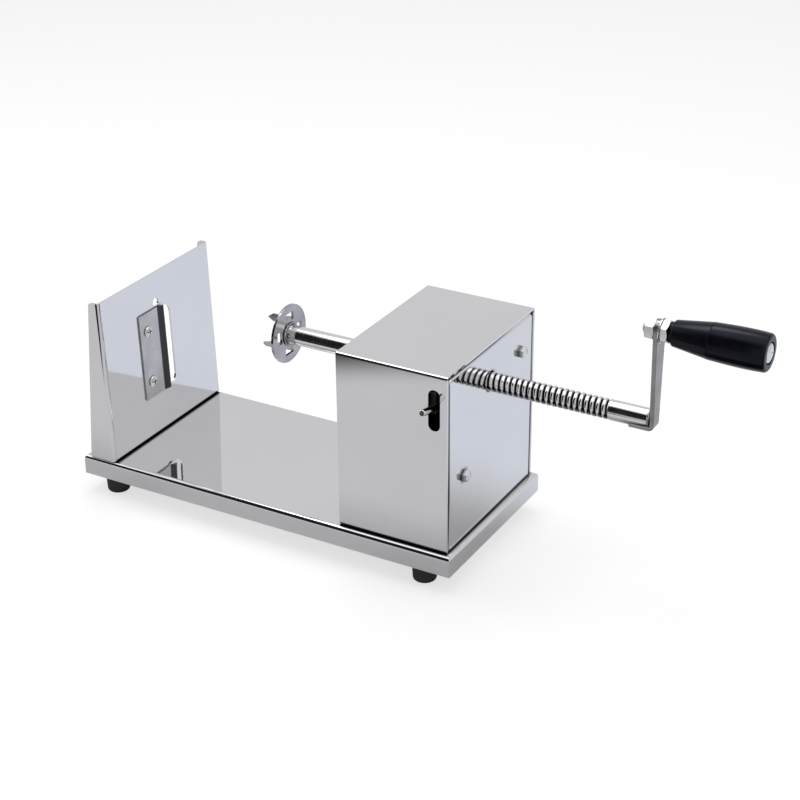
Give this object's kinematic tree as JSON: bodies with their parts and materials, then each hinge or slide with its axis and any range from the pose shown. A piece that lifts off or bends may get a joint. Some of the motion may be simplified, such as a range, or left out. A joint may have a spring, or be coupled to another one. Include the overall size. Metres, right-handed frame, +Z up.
{
  "type": "tornado potato cutter",
  "caption": "Hand cranked spiral potato cutter: a threaded spindle with a prong disc drives a potato against a bladed stand.",
  "frame": {"origin": "middle of the overall box, at table height under the feet", "axes": "+X along the spindle towards the crank, +Y away from the thumb pin, +Z up"},
  "size_m": [0.4838, 0.144, 0.2051],
  "materials": {
    "stainless_sheet": "mirror polished",
    "spindle_steel": "bright",
    "crank_steel": "satin",
    "blade_steel": "satin",
    "bright_fasteners": "bright",
    "mechanism_steel": "plain",
    "half_nut_brass": "machined",
    "black_rubber": "matte",
    "black_plastic": "glossy",
    "white_nylon": "matte"
  },
  "bodies": {
    "frame": {"base_tray": "stainless_sheet", "blade_stand": "stainless_sheet", "housing_cover": "stainless_sheet", "crank_side_panel": "stainless_sheet", "blade_side_panel": "stainless_sheet", "cutting_blade": "blade_steel", "foot_screws": "bright_fasteners", "foot_nuts": "bright_fasteners", "stand_screws": "bright_fasteners", "stand_nuts": "bright_fasteners", "housing_screws": "bright_fasteners", "housing_nuts": "bright_fasteners", "blade_screws": "bright_fasteners", "blade_nuts": "bright_fasteners", "pivot_bolt": "bright_fasteners", "spring_bolt": "bright_fasteners", "cross_bolt_nuts": "bright_fasteners", "pivot_sleeve_long": "mechanism_steel", "pivot_sleeve_short": "mechanism_steel", "return_spring": "mechanism_steel", "foot_front_left": "black_rubber", "foot_front_right": "black_rubber", "foot_rear_left": "black_rubber", "foot_rear_right": "black_rubber"},
    "bush": {"blade_side_bush": "white_nylon"},
    "spindle": {"spindle": "spindle_steel", "prong_disc": "spindle_steel", "crank_arm": "crank_steel", "grip_axle": "bright_fasteners", "axle_nut": "bright_fasteners", "axle_washer": "bright_fasteners", "axle_collar": "bright_fasteners"},
    "grip": {"grip": "black_plastic"},
    "lever": {"release_lever": "mechanism_steel", "half_nut": "half_nut_brass", "half_nut_rivets": "mechanism_steel", "thumb_pin": "bright_fasteners"}
  },
  "joints": [
    {"name": "spindle_spin", "type": "hinge", "parent": "frame", "child": "bush", "pos_m": [-0.02805, 0.00252, 0.1302], "axis": [-1, 0, 0], "range_deg": [-2160, 7920]},
    {"name": "spindle_feed", "type": "slide", "parent": "bush", "child": "spindle", "axis": [-1, 0, 0], "range_m": [-0.024, 0.088]},
    {"name": "grip_spin", "type": "hinge", "parent": "spindle", "child": "grip", "pos_m": [0.17745, 0.00252, 0.1925], "axis": [1, 0, 0], "continuous": true},
    {"name": "release_lever", "type": "hinge", "parent": "frame", "child": "lever", "pos_m": [0.03915, 0.04752, 0.1329], "axis": [-1, 0, 0], "range_deg": [0, 5.5], "stiffness_Nm_per_rad": 3.2, "springref_deg": -5.73, "deforming": ["return_spring"]}
  ],
  "couplings": [
    {"joint": "spindle_feed", "follows": "spindle_spin", "m_per_rad": 0.00063662}
  ]
}
